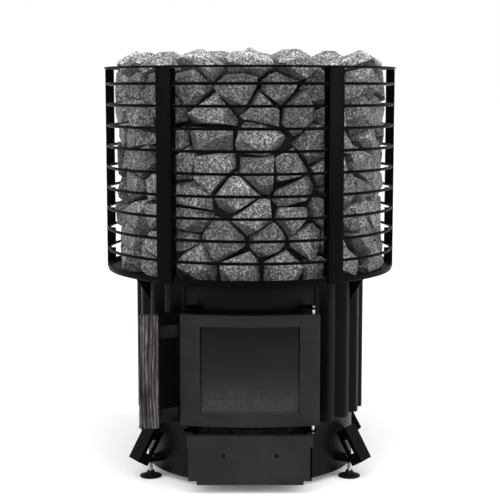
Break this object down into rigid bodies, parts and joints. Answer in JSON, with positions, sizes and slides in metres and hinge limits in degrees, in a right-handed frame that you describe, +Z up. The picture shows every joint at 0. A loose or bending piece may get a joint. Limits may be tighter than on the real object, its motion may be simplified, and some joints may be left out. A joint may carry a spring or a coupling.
{
  "type": "wood-burning sauna stove",
  "caption": "Round wood-burning sauna stove: a rod cage of split stones over a ribbed cylindrical firebox with a glazed hinged door, an ash drawer and levelling feet.",
  "frame": {"origin": "on the floor under the stove's vertical axis", "axes": "+Z up, -Y towards the front with the door, +X to the right seen from the front"},
  "size_m": [0.6, 0.6, 0.8695],
  "materials": {
    "black_paint": "satin heat-resistant black",
    "cast_iron": "raw, dark",
    "zinc_steel": "zinc plated",
    "foot_rubber": "matt black",
    "split_stone": "rough split grey stone",
    "door_glass": "dark heat-resistant glass",
    "stained_wood": "grey stained, open grain",
    "tray_steel": "galvanised",
    "glass_rope": "woven glass rope"
  },
  "bodies": {
    "stove": {"body_shell": "black_paint", "base_plate": "black_paint", "firebox_floor": "cast_iron", "grate_front": "cast_iron", "grate_rear": "cast_iron", "heat_drum": "black_paint", "flue_collar": "black_paint", "door_throat": "black_paint", "door_catch": "zinc_steel", "ash_runner_left": "zinc_steel", "ash_runner_right": "zinc_steel", "rib_jacket_left": "black_paint", "rib_jacket_right": "black_paint", "cage_floor": "black_paint", "cage_rim": "black_paint", "cage_rod_1": "black_paint", "cage_rod_2": "black_paint", "cage_rod_3": "black_paint", "cage_rod_4": "black_paint", "cage_rod_5": "black_paint", "cage_rod_6": "black_paint", "cage_rod_7": "black_paint", "cage_rod_8": "black_paint", "cage_rod_9": "black_paint", "cage_post_left_1": "black_paint", "cage_post_left_2": "black_paint", "cage_post_left_3": "black_paint", "cage_post_right_1": "black_paint", "cage_post_right_2": "black_paint", "cage_post_right_3": "black_paint", "cage_gusset_left_1": "black_paint", "cage_gusset_left_2": "black_paint", "cage_gusset_right_1": "black_paint", "cage_gusset_right_2": "black_paint", "stone_charge": "split_stone", "leg_bracket_front_left": "black_paint", "leg_bracket_front_right": "black_paint", "leg_bracket_rear_left": "black_paint", "leg_bracket_rear_right": "black_paint"},
    "door": {"door_frame": "black_paint", "door_glass": "door_glass", "glass_seal": "glass_rope", "glass_retainer": "black_paint", "door_seal": "glass_rope", "handle_arm_upper": "black_paint", "handle_arm_lower": "black_paint", "handle_grip": "stained_wood", "handle_shield": "black_paint", "hinge_pin_upper": "zinc_steel", "hinge_pin_lower": "zinc_steel"},
    "ash_drawer": {"ash_drawer_front": "black_paint", "ash_tray": "tray_steel"},
    "foot_front_left": {"levelling_stud_front_left": "zinc_steel", "foot_pad_front_left": "foot_rubber"},
    "foot_front_right": {"levelling_stud_front_right": "zinc_steel", "foot_pad_front_right": "foot_rubber"},
    "foot_rear_left": {"levelling_stud_rear_left": "zinc_steel", "foot_pad_rear_left": "foot_rubber"},
    "foot_rear_right": {"levelling_stud_rear_right": "zinc_steel", "foot_pad_rear_right": "foot_rubber"}
  },
  "joints": [
    {"name": "door_hinge", "type": "hinge", "parent": "stove", "child": "door", "pos_m": [0.124, -0.21508, 0.2445], "axis": [0, 0, 1], "range_deg": [0, 115]},
    {"name": "drawer_slide", "type": "slide", "parent": "stove", "child": "ash_drawer", "axis": [0, -1, 0], "range_m": [0, 0.25]},
    {"name": "turn_foot_front_left", "type": "hinge", "parent": "stove", "child": "foot_front_left", "pos_m": [-0.20395, -0.11775, 0.02], "axis": [0, 0, 1], "continuous": true},
    {"name": "turn_foot_front_right", "type": "hinge", "parent": "stove", "child": "foot_front_right", "pos_m": [0.20395, -0.11775, 0.02], "axis": [0, 0, 1], "continuous": true},
    {"name": "turn_foot_rear_left", "type": "hinge", "parent": "stove", "child": "foot_rear_left", "pos_m": [-0.20395, 0.11775, 0.02], "axis": [0, 0, 1], "continuous": true},
    {"name": "turn_foot_rear_right", "type": "hinge", "parent": "stove", "child": "foot_rear_right", "pos_m": [0.20395, 0.11775, 0.02], "axis": [0, 0, 1], "continuous": true}
  ]
}
